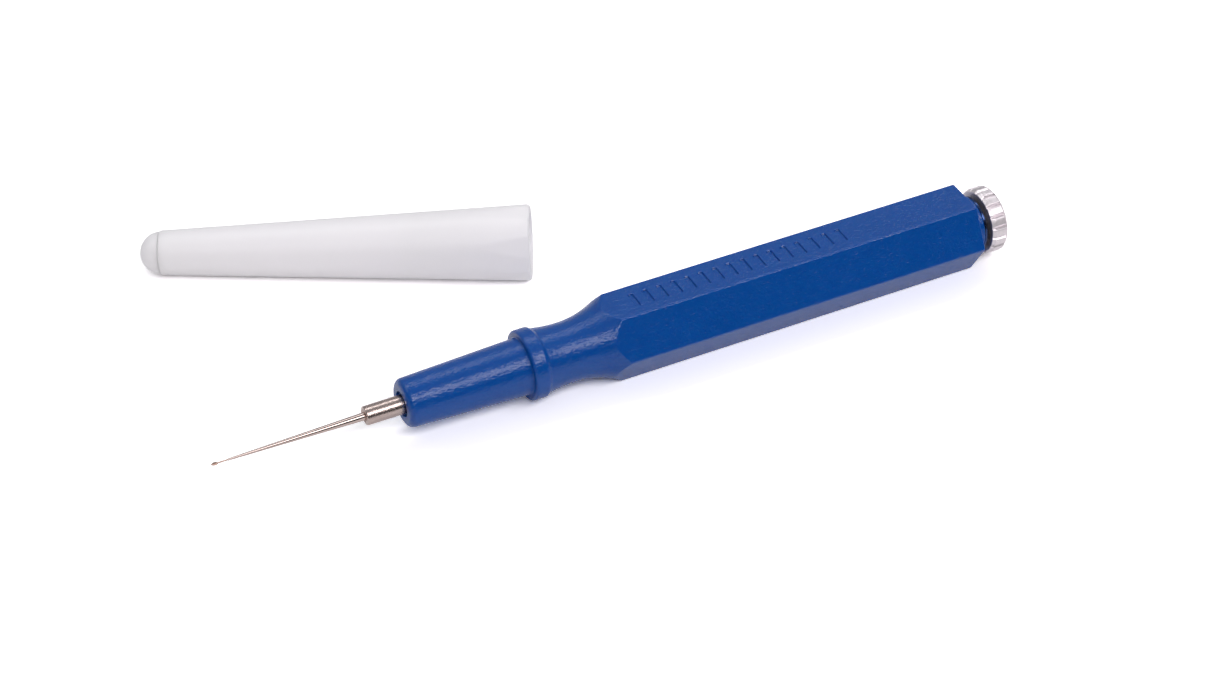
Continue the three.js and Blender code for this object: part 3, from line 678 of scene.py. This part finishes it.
def handle_rows(s, ferrule_hole):
    """Rows of the moulding as (x, radius, inset of the hexagon), from the bore's shoulder round the outside
    and back through the bore."""
    blank = s.across_flats / math.sqrt(3) + s.crease
    waist_x = waist_place(s)
    collar_back = waist_x - s.waist_length
    collar_x = collar_front(s)
    collar_edge = 0.35 * MM
    nose_x = HANDLE_LOW.x
    hole = HANDLE_LOW.x + s.sink_depth
    shoulder = SEAL_LOW.x - FIT
    waist = [
        (waist_x - s.waist_length * t, s.waist_radius + (s.collar_back - s.waist_radius) * t * t, 0)
        for t in np.linspace(0.92, 0, 12)
    ]
    front = rounded([
        (shoulder, ferrule_hole, 0),
        (hole, ferrule_hole, 0.05 * MM),
        (hole, s.sink_radius, 0.12 * MM),
        (nose_x, s.sink_radius, 0.1 * MM),
        (nose_x, s.nose_tip, 0.8 * MM),
        (collar_x, s.nose_root, 0.12 * MM),
        (collar_x, s.collar_radius, collar_edge),
        (collar_back - collar_edge, s.collar_radius, 0.45 * MM),
        (collar_back, s.collar_back, 0.5 * MM),
        *waist,
    ])
    rows = [(x, r, 0) for x, r in front]
    cove_end = math.sqrt(s.cove_radius ** 2 - (s.cove_radius + s.waist_radius - blank) ** 2)
    gentle = 4.2 * MM
    cove = [*np.linspace(0.2 * MM, gentle, 20), *np.linspace(gentle, cove_end, 36)[1:]]
    for d in cove:
        rows.append((waist_x + d, s.waist_radius + s.cove_radius - math.sqrt(s.cove_radius ** 2 - d * d), 0))
    end = s.end_round
    for x in np.linspace(waist_x + cove_end, s.grip_rear - 1.5 * end, 24)[1:]:
        rows.append((x, blank, 0))
    for angle in np.linspace(0, math.pi / 2, 7):
        rows.append((s.grip_rear - end + end * math.sin(angle), blank, end * (1 - math.cos(angle))))
    rows.append((s.grip_rear, blank, 1.5 * end))
    bush = BUSH_HIGH.z - AXIS_Z + FIT
    back = rounded([
        (s.grip_rear, blank, 0),
        (s.grip_rear, s.boss_radius, 0.08 * MM),
        (HANDLE_HIGH.x, s.boss_radius, 0.2 * MM),
        (HANDLE_HIGH.x, bush, 0.04 * MM),
        (BUSH_LOW.x - FIT, bush, 0),
        (BUSH_LOW.x - FIT, s.bore_radius, 0),
        (shoulder, s.bore_radius, 0),
    ])
    rows += [(x, r, 0) for x, r in back[1:]]
    return rows


def bar_cutter(s):
    """Rounded bar whose top flares out, so that the debossed edge is soft."""
    flare = 0.07 * MM
    deep = -s.bar_depth
    levels = [(deep, -0.6 * flare), (deep + 0.6 * flare, 0), (-flare, 0), (0, flare), (flare, 3 * flare)]
    steps = 6
    rings = []
    for height, grow in levels:
        half_x, half_y = s.bar_width / 2 + grow, s.bar_height / 2 + grow
        bend = 0.2 * MM + grow
        ring = []
        for i in range(4):
            turn = i * math.pi / 2
            centre = Vector((half_x - bend, half_y - bend))
            centre.x *= math.copysign(1, math.cos(turn + math.pi / 4))
            centre.y *= math.copysign(1, math.sin(turn + math.pi / 4))
            for k in range(steps + 1):
                angle = turn + k / steps * math.pi / 2
                ring.append((centre.x + bend * math.cos(angle), centre.y + bend * math.sin(angle), height))
        rings.append(ring)
    mesh = mesh_from_rings("bar_cutter", np.array(rings))
    shape = bmesh.new()
    shape.from_mesh(mesh)
    open_edges = [e for e in shape.edges if e.is_boundary]
    bmesh.ops.contextual_create(shape, geom=[e for e in open_edges if e.verts[0].co.z < 0])
    bmesh.ops.contextual_create(shape, geom=[e for e in open_edges if e.verts[0].co.z > 0])
    bmesh.ops.recalc_face_normals(shape, faces=shape.faces)
    shape.to_mesh(mesh)
    shape.free()
    cutter = bpy.data.objects.new("bar_cutter", mesh)
    bpy.context.scene.collection.objects.link(cutter)
    return cutter


class OILER_OT_handle(bpy.types.Operator):
    """Makes the blue moulding: grip, boss, waist, collar and nose, with a row of debossed bars"""
    bl_idname = "oiler.handle"
    bl_label = "Handle"

    def execute(self, context):
        s = context.scene.oiler.handle
        rows = handle_rows(s, context.scene.oiler.needle.ferrule_radius + FIT)
        angles = grip_angles()
        radii = []
        for _, radius, inset in rows:
            flats = hexagon_reach(angles, s.across_flats / 2 - inset, s.corner_round)
            radii.append(soft_min(np.full_like(angles, radius), flats, s.crease))
        rings = rings_from([row[0] for row in rows], np.array(radii), angles)
        mesh = mesh_from_rings("handle", rings, looped=True)
        material = moulded_blue_abs(context.scene.oiler.colours)
        cutter = bar_cutter(s)
        mesh = grown(mesh, bar_tree(material), {
            "Cutter": cutter, "Count": s.bar_count, "Pitch": s.bar_pitch,
            "First": (s.grip_front + s.bar_setback, 0, s.across_flats / 2)})
        bpy.data.objects.remove(cutter)
        handle = place("handle_moulding", mesh, material)
        hand_over(handle, "handle", "blue_plastic", "handle_shell")
        return {"FINISHED"}


# ---- Needle ----


class OILER_OT_needle(bpy.types.Operator):
    """Makes the plated ferrule, the tapered tube and the dosing wire with its spade"""
    bl_idname = "oiler.needle"
    bl_label = "Needle"

    def execute(self, context):
        s = context.scene.oiler.needle
        colours = context.scene.oiler.colours
        flange = FERRULE_HIGH.z - AXIS_Z
        tube_hole = s.tube_root + FIT
        stop = TUBE_HIGH.x + FIT
        outline = rounded([
            (stop, tube_hole, 0),
            (FERRULE_LOW.x + 0.25 * MM, tube_hole, 0.1 * MM),
            (FERRULE_LOW.x, tube_hole + 0.3 * MM, 0.08 * MM),
            (FERRULE_LOW.x, s.ferrule_radius, 0.16 * MM),
            (FERRULE_HIGH.x - s.flange_width, s.ferrule_radius, 0.05 * MM),
            (FERRULE_HIGH.x - s.flange_width, flange, 0.08 * MM),
            (FERRULE_HIGH.x, flange, 0.08 * MM),
            (FERRULE_HIGH.x, s.oil_hole, 0.08 * MM),
            (stop + 1 * MM, s.oil_hole, 0),
        ])
        ferrule = place("ferrule", turned("ferrule", outline, 120, True), bright_nickel(colours))
        hand_over(ferrule, "handle", "nickel", "needle_ferrule")

        outline = rounded([
            (TUBE_LOW.x + 3.8 * MM, s.tube_bore, 0),
            (TUBE_LOW.x, s.tube_bore, 0.01 * MM),
            (TUBE_LOW.x, s.tube_tip, 0.02 * MM),
            (FERRULE_LOW.x, s.tube_root, 0),
            (TUBE_HIGH.x, s.tube_root, 0.03 * MM),
            (TUBE_HIGH.x, s.tube_root_bore, 0.03 * MM),
            (FERRULE_LOW.x, s.tube_root_bore, 0),
        ])
        tube = place("capillary_tube", turned("capillary_tube", outline, 72, True), polished_nickel(colours))
        hand_over(tube, "handle", "nickel", "needle_tube")

        wire = place("wire_with_spade", self.wire_mesh(s), tempered_steel(colours))
        hand_over(wire, "wire_carrier", "steel", "dosing_wire")
        return {"FINISHED"}

    def wire_mesh(self, s):
        """Round wire that swells into a thin leaf and ends in a blunt point."""
        thin = 0.055 * MM  # half of the leaf's thickness
        back = WIRE_LOW.x + s.spade_length
        sections = [(x, s.wire_radius, s.wire_radius) for x in (WIRE_HIGH.x, back + 0.4 * MM)]
        shoulder = 0.38  # share of the leaf's length where it is widest
        steps = 24
        for i in range(steps):
            t = i / steps
            rise = min(1, t / shoulder)
            rise = rise * rise * (3 - 2 * rise)
            fall = max(0, t - shoulder) / (1 - shoulder)
            half = (s.wire_radius + (s.spade_half - s.wire_radius) * rise) * (1 - fall ** 2)
            flat = s.wire_radius + (thin - s.wire_radius) * rise
            sections.append((back - s.spade_length * t, half, min(flat, half)))
        angles = full_turn(24)
        rings = np.array([
            [(x, half * math.cos(a), flat * math.sin(a)) for a in angles] for x, half, flat in sections
        ])
        tips = [np.tile([sections[0][0], 0, 0], (24, 1)), np.tile([WIRE_LOW.x, 0, 0], (24, 1))]
        return mesh_from_rings("wire", np.concatenate([tips[:1], rings, tips[1:]]))


# ---- Rear plug and button ----


class OILER_OT_rear_plug(bpy.types.Operator):
    """Makes the plated screw plug whose flange shows in front of the button"""
    bl_idname = "oiler.rear_plug"
    bl_label = "Rear plug"

    def execute(self, context):
        s = context.scene.oiler.rear
        flange_x = PLUG_HIGH.x - s.flange_width
        thread_x = flange_x - s.thread_length
        groove = PLUG_LOW.x + s.groove_setback
        rod_hole = s.rod_radius + RUN
        stem_hole = s.stem_radius + RUN
        outline = rounded([
            (GLAND_LOW.x - FIT, rod_hole, 0),
            (PLUG_LOW.x, rod_hole, 0.04 * MM),
            (PLUG_LOW.x, s.spigot_radius, 0.12 * MM),
            (groove, s.spigot_radius, 0.03 * MM),
            (groove, s.groove_radius, 0.03 * MM),
            (groove + s.groove_width, s.groove_radius, 0.03 * MM),
            (groove + s.groove_width, s.spigot_radius, 0.03 * MM),
            (thread_x, s.spigot_radius, 0.03 * MM),
            (thread_x, s.thread_radius, 0.1 * MM),
            (flange_x, s.thread_radius, 0.03 * MM),
            (flange_x, s.flange_radius, 0.06 * MM),
            (PLUG_HIGH.x, s.flange_radius, 0.1 * MM),
            (PLUG_HIGH.x, stem_hole, 0.06 * MM),
            (GLAND_LOW.x - FIT, stem_hole, 0),
        ])
        # The flange's finish is nickel with painted shade, darkened and tinted blue.
        material = oily_nickel(context.scene.oiler.colours)
        plug = place("screw_plug", turned("screw_plug", outline, 120, True), material)
        hand_over(plug, "rear_assembly", "nickel", "rear_plug")
        return {"FINISHED"}


class OILER_OT_button(bpy.types.Operator):
    """Makes the fluted press button from one sector that is repeated round its axis"""
    bl_idname = "oiler.button"
    bl_label = "Press button"

    def execute(self, context):
        s = context.scene.oiler.rear
        back = BUTTON_HIGH.x
        front = back - s.button_thickness
        hole = s.rod_radius + FIT
        edge = 0.05 * MM
        outline = rounded([
            (front + s.rod_depth, 0, 0),
            (front + s.rod_depth, hole, 0),
            (BUTTON_LOW.x, hole, edge),
            (BUTTON_LOW.x, s.stem_radius, edge),
            (front, s.stem_radius, edge),
            (front, s.button_radius - s.lead_depth, 2 * edge),
            (front + s.lead_length, s.button_radius, 4 * edge),
            (back - s.button_chamfer, s.button_radius, 2 * edge),
            (back, s.button_radius - s.button_chamfer, 2 * edge),
            (back, 0.5 * MM, 0),
            (back, 0, 0),
        ])
        half_sector = math.pi / s.flutes
        groove = s.flute_half * np.array([0, 0.1, 0.3, 0.6, 0.85, 0.95, 1.0, 1.05, 1.2])
        ridge = np.linspace(s.flute_half * 1.5, half_sector, 5)
        side = np.concatenate([groove, ridge])
        angles = np.concatenate([-side[:0:-1], side])
        steep = s.flute_depth / s.flute_half
        valley = s.button_radius - s.flute_depth + np.abs(angles) * steep
        softness = 0.07 * MM
        valley = np.maximum(valley, s.button_radius - s.flute_depth + softness / 2)
        radii = []
        for _, radius in outline:
            plain = np.full_like(angles, radius)
            radii.append(plain if radius < s.button_radius / 2 else soft_min(plain, valley, softness))
        rings = rings_from([x for x, _ in outline], np.array(radii), angles)
        sector = mesh_from_rings("button_sector", rings, wrapped=False)
        material = turned_aluminium(context.scene.oiler.colours)
        mesh = grown(sector, flute_tree(material), {"Count": s.flutes})
        button = place("fluted_button", mesh, material)
        hand_over(button, "button", "aluminium", "push_button")
        return {"FINISHED"}


# ---- Inner pieces ----


class OILER_OT_spring(bpy.types.Operator):
    """Winds the return spring round the wire holder"""
    bl_idname = "oiler.spring"
    bl_label = "Return spring"

    def execute(self, context):
        s = context.scene.oiler.needle
        material = drawn_steel(context.scene.oiler.colours)
        start = SPRING_LOW.x + s.spring_wire
        span = SPRING_HIGH.x - SPRING_LOW.x - 2 * s.spring_wire
        mesh = grown(bpy.data.meshes.new("spring"), spring_tree(material), {
            "Radius": s.spring_radius, "Wire": s.spring_wire, "Length": span, "Turns": s.spring_turns})
        spring = place("coil_spring", mesh, material, Matrix.Translation((start, 0, AXIS_Z)))
        hand_over(spring, "handle", "steel", "return_spring")
        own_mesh(spring)
        return {"FINISHED"}


class OILER_OT_inner_pieces(bpy.types.Operator):
    """Gives the turned pieces and seals inside the handle their finishes"""
    bl_idname = "oiler.inner_pieces"
    bl_label = "Inner pieces"

    def execute(self, context):
        colours = context.scene.oiler.colours
        finishes = {
            turned_brass: ("holder_sleeve", "wire_holder", "rear_bush", "gland_nut"),
            moulded_nitrile: ("ferrule_seal", "reservoir_gasket", "plug_seal", "rod_gland"),
            bright_nickel: ("reservoir_tube",),
            drawn_steel: ("plunger_rod", "rod_clip"),
        }
        for make, nodes in finishes.items():
            material = make(colours)
            for node in nodes:
                slots = frame["nodes"][node].data.materials
                slots.clear()
                slots.append(material)
        return {"FINISHED"}


# ---- Cap ----


def cap_matrix(s):
    """Place of the cap: it lies on its side, so its axis dips towards the narrow end by its own taper."""
    dip = math.atan2(s.mouth_radius - s.tip_radius, s.shell_length)
    heading = math.atan2(CAP_AXIS.y, CAP_AXIS.x)
    height = s.mouth_radius * math.cos(dip)
    lift = Matrix.Translation((*s.mouth_place, height))
    return lift @ Matrix.Rotation(heading, 4, "Z") @ Matrix.Rotation(dip, 4, "Y")


class OILER_OT_cap(bpy.types.Operator):
    """Makes the tapered cap with six short flats at its mouth, and its domed end plug"""
    bl_idname = "oiler.cap"
    bl_label = "Cap"

    def execute(self, context):
        s = context.scene.oiler.cap
        nose = context.scene.oiler.handle
        material = moulded_white_polypropylene(context.scene.oiler.colours)
        end = s.shell_length
        taper = (s.mouth_radius - s.tip_radius) / end
        root_bore = nose.nose_root + FIT
        grip = collar_front(nose) - HANDLE_LOW.x + s.nose_room
        beside_flats = np.linspace(0.7 * MM, 6 * MM, 56)
        rest = np.linspace(9 * MM, 42 * MM, 12)
        outside = [(x, s.mouth_radius - taper * x, 0) for x in (*beside_flats, *rest)]
        outline = rounded([
            (s.lead_length, root_bore, 0),
            (0, root_bore + s.lead, 0.12 * MM),
            (0, s.mouth_radius, s.mouth_round),
            *outside,
            (end, s.tip_radius, 0.1 * MM),
            (end, s.seat_radius, 0.05 * MM),
            (end - s.seat_length, s.seat_radius, 0),
            (end - s.seat_length, s.needle_bore, 0),
            (grip + 1 * MM, s.needle_bore, 0),
            (grip, nose.nose_tip + FIT, 0),
        ])
        angles = full_turn(240)
        flats = hexagon_reach(angles, s.mouth_radius - s.flat_depth, 0.3 * MM)
        radii = np.array([soft_min(np.full_like(angles, r), flats, 0.05 * MM) for _, r in outline])
        mesh = mesh_from_rings("cap", rings_from([x for x, _ in outline], radii, angles), looped=True)
        shell = place("cap_moulding", mesh, material, cap_matrix(s))
        hand_over(shell, "cap", "white_plastic", "cap_shell")

        face = end + FIT
        dome = s.tip_radius - s.dome_step
        peg = s.seat_radius - FIT
        front = end - s.seat_length + FIT
        curve = [
            (face + s.dome_length * math.sin(a), dome * math.cos(a), 0)
            for a in np.linspace(0, math.pi / 2, 26)[1:]
        ]
        outline = rounded([
            (front, 0, 0), (front, peg, 0.15 * MM), (face, peg, 0), (face, dome, 0.05 * MM), *curve])
        plug = place("domed_plug", turned("domed_plug", outline, 120), material, cap_matrix(s))
        hand_over(plug, "cap", "white_plastic", "cap_end_plug")
        return {"FINISHED"}


# ---- Stage ----

# Places and sizes are in metres, the lens and the sensor in millimetres.
FLOOR_HALF = 3.0
LIGHT_TARGET = (-0.02, 0.005, 0)
FAR_PLACE, FAR_SIZE, FAR_RADIANCE = (0.0, 0.416, 0.798), (1.8, 0.2), 2.9
NEAR_PLACE, NEAR_SIZE, NEAR_RADIANCE = (0.01, -0.382, 0.463), (0.84, 0.2), 5.3
NEAR_TONE = (1, 0.97, 0.98)
ROOM_TONE = (0.95, 0.96, 1, 1)
BRIGHT_SIDE = (0, 0.6, 0.8)  # direction where the room is brightest
ROOM_DIM, ROOM_BRIGHT = 0.03, 0.38
CAMERA_PLACE = (-0.14425, -0.23870, 0.22288)
CAMERA_TARGET_X = -0.02433
CAMERA_LENS, CAMERA_SENSOR = 90.41, 36


def softbox(name, location, target, size, radiance, tone=(1, 1, 1)):
    """Rectangular area light of a given brightness, aimed at a point."""
    light = bpy.data.lights.new(name, "AREA")
    light.shape = "RECTANGLE"
    light.size, light.size_y = size
    light.energy = radiance * math.pi * size[0] * size[1]
    light.color = tone
    lamp = bpy.data.objects.new(name, light)
    lamp.location = location
    lamp.rotation_euler = (Vector(target) - Vector(location)).to_track_quat("-Z", "Y").to_euler()
    bpy.context.scene.collection.objects.link(lamp)


class OILER_OT_stage(bpy.types.Operator):
    """Sets the floor, the soft studio lights and the camera"""
    bl_idname = "oiler.stage"
    bl_label = "Stage"

    def execute(self, context):
        scene = context.scene
        mesh = bpy.data.meshes.new("floor")
        corners = [(x * FLOOR_HALF, y * FLOOR_HALF, 0) for x, y in ((-1, -1), (1, -1), (1, 1), (-1, 1))]
        mesh.from_pydata(corners, [], [(0, 1, 2, 3)])
        mesh.materials.append(matt_paper(scene.oiler.colours))
        floor = bpy.data.objects.new("floor", mesh)
        scene.collection.objects.link(floor)

        softbox("far_strip", FAR_PLACE, LIGHT_TARGET, FAR_SIZE, FAR_RADIANCE)
        softbox("near_strip", NEAR_PLACE, LIGHT_TARGET, NEAR_SIZE, NEAR_RADIANCE, NEAR_TONE)

        world = bpy.data.worlds.new("studio")
        world.use_nodes = True
        room = world.node_tree
        sky = room.nodes["Background"]
        sky.inputs["Color"].default_value = ROOM_TONE
        heading = add(room, "ShaderNodeTexCoord")
        slope = add(room, "ShaderNodeVectorMath", {
            0: heading.outputs["Generated"], 1: BRIGHT_SIDE}, operation="DOT_PRODUCT")
        ramp = add(room, "ShaderNodeMapRange", {
            "Value": slope.outputs["Value"],
            "From Min": -0.3, "From Max": 0.8, "To Min": ROOM_DIM, "To Max": ROOM_BRIGHT})
        room.links.new(ramp.outputs["Result"], sky.inputs["Strength"])
        scene.world = world
        scene.view_settings.view_transform = "Standard"

        data = bpy.data.cameras.new("camera")
        data.lens = CAMERA_LENS
        data.sensor_width = CAMERA_SENSOR
        data.clip_start = 0.01
        camera = bpy.data.objects.new("camera", data)
        camera.location = CAMERA_PLACE
        target = Vector((CAMERA_TARGET_X, 0, AXIS_Z))
        camera.rotation_euler = (target - camera.location).to_track_quat("-Z", "Y").to_euler()
        scene.collection.objects.link(camera)
        scene.camera = camera
        return {"FINISHED"}


# ---- Panel and registration ----


class OILER_PT_panel(bpy.types.Panel):
    """Lists the oiler's pieces and their sizes"""
    bl_idname = "OILER_PT_panel"
    bl_label = "Automatic oiler"
    bl_space_type = "VIEW_3D"
    bl_region_type = "UI"
    bl_category = "Oiler"

    def draw(self, context):
        for operator in OPERATORS:
            self.layout.operator(operator.bl_idname)
        for group in ("handle", "needle", "rear", "cap", "colours"):
            settings = getattr(context.scene.oiler, group)
            box = self.layout.box()
            box.label(text=group.capitalize())
            for name in settings.bl_rna.properties.keys():
                if name not in ("rna_type", "name"):
                    box.prop(settings, name)


OPERATORS = (
    OILER_OT_handle, OILER_OT_needle, OILER_OT_rear_plug, OILER_OT_button,
    OILER_OT_spring, OILER_OT_inner_pieces, OILER_OT_cap, OILER_OT_stage,
)
GROUPS = (
    OILER_PG_handle, OILER_PG_needle, OILER_PG_rear, OILER_PG_cap, OILER_PG_colours, OILER_PG_settings,
)


def register():
    for item in (*GROUPS, *OPERATORS, OILER_PT_panel):
        bpy.utils.register_class(item)
    bpy.types.Scene.oiler = PointerProperty(type=OILER_PG_settings)


def unregister():
    del bpy.types.Scene.oiler
    for item in (OILER_PT_panel, *reversed(OPERATORS), *reversed(GROUPS)):
        bpy.utils.unregister_class(item)


def main():
    register()
    bpy.ops.oiler.handle()
    bpy.ops.oiler.needle()
    bpy.ops.oiler.rear_plug()
    bpy.ops.oiler.button()
    bpy.ops.oiler.spring()
    bpy.ops.oiler.inner_pieces()
    bpy.ops.oiler.cap()
    bpy.ops.oiler.stage()


if __name__ == "__main__":
    main()
